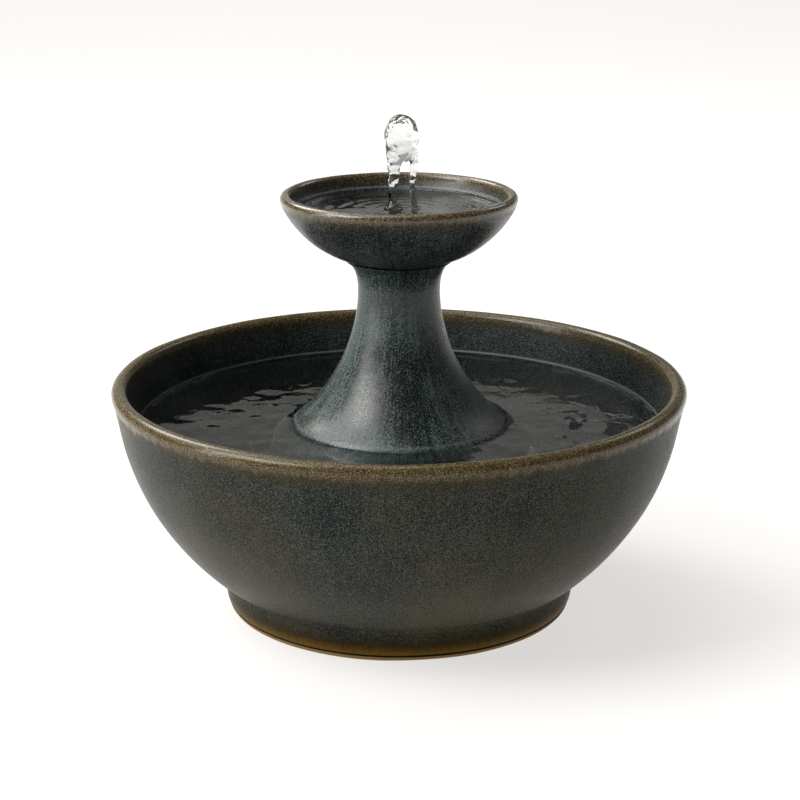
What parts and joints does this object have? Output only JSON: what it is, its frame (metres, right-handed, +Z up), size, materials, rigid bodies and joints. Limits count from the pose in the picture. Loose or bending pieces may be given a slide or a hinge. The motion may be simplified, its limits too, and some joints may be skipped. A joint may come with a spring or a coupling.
{
  "type": "tabletop water fountain",
  "caption": "Glazed stoneware fountain with a wide basin, a trumpet pedestal over a submersible pump, and a small upper bowl with a water jet.",
  "frame": {"origin": "on the table, under the centre of the basin's foot ring", "axes": "+Z up, -Y towards the viewer of the picture, +X to the viewer's right; the falling leg of the jet is at +X and the pump's intake faces -Y"},
  "size_m": [0.28, 0.28, 0.2424],
  "materials": {
    "glaze": "gloss",
    "water": "gloss",
    "black_rubber": "matte",
    "black_plastic": "satin",
    "clear_vinyl": "gloss",
    "laminations": "satin",
    "nylon": "satin",
    "copper": "satin",
    "resin": "gloss",
    "ferrite": "matte",
    "technical_ceramic": "satin",
    "foam": "matte"
  },
  "bodies": {
    "base": {"basin": "glaze", "basin_water": "water", "riser_tube": "clear_vinyl", "pump_housing": "black_plastic", "pump_foot_plate": "black_plastic", "stator_core": "laminations", "coil_bobbin": "nylon", "coil_winding": "copper", "epoxy_potting": "resin", "cord_gland": "black_rubber", "rotor_shaft": "technical_ceramic", "front_bushing": "black_rubber", "rear_bushing": "black_rubber", "volute_cover": "black_plastic", "volute_o_ring": "black_rubber", "suction_cup_1": "black_rubber", "suction_cup_2": "black_rubber", "suction_cup_3": "black_rubber", "suction_cup_4": "black_rubber"},
    "column": {"pedestal": "glaze"},
    "top": {"upper_bowl": "glaze", "bowl_water": "water", "water_jet": "water", "bowl_grommet": "black_rubber", "bulkhead_fitting": "black_plastic", "lock_nut": "black_plastic", "jet_nozzle": "black_plastic"},
    "rotor": {"rotor_magnet": "ferrite", "impeller": "nylon"},
    "cover": {"intake_cover": "black_plastic", "filter_sponge": "foam"},
    "gate": {"flow_regulator": "nylon"}
  },
  "joints": [
    {"name": "pedestal_lift", "type": "slide", "parent": "base", "child": "column", "axis": [0, 0, 1], "range_m": [0, 0.17], "deforming": ["basin_water"]},
    {"name": "bowl_lift", "type": "slide", "parent": "column", "child": "top", "axis": [0, 0, 1], "range_m": [0, 0.06], "deforming": ["bowl_water", "water_jet"]},
    {"name": "impeller_spin", "type": "hinge", "parent": "base", "child": "rotor", "pos_m": [0, 0, 0.046], "axis": [0, 1, 0], "continuous": true},
    {"name": "cover_pull", "type": "slide", "parent": "base", "child": "cover", "axis": [0, -1, 0], "range_m": [0, 0.02]},
    {"name": "regulator_slide", "type": "slide", "parent": "cover", "child": "gate", "axis": [1, 0, 0], "range_m": [0, 0.004]}
  ]
}
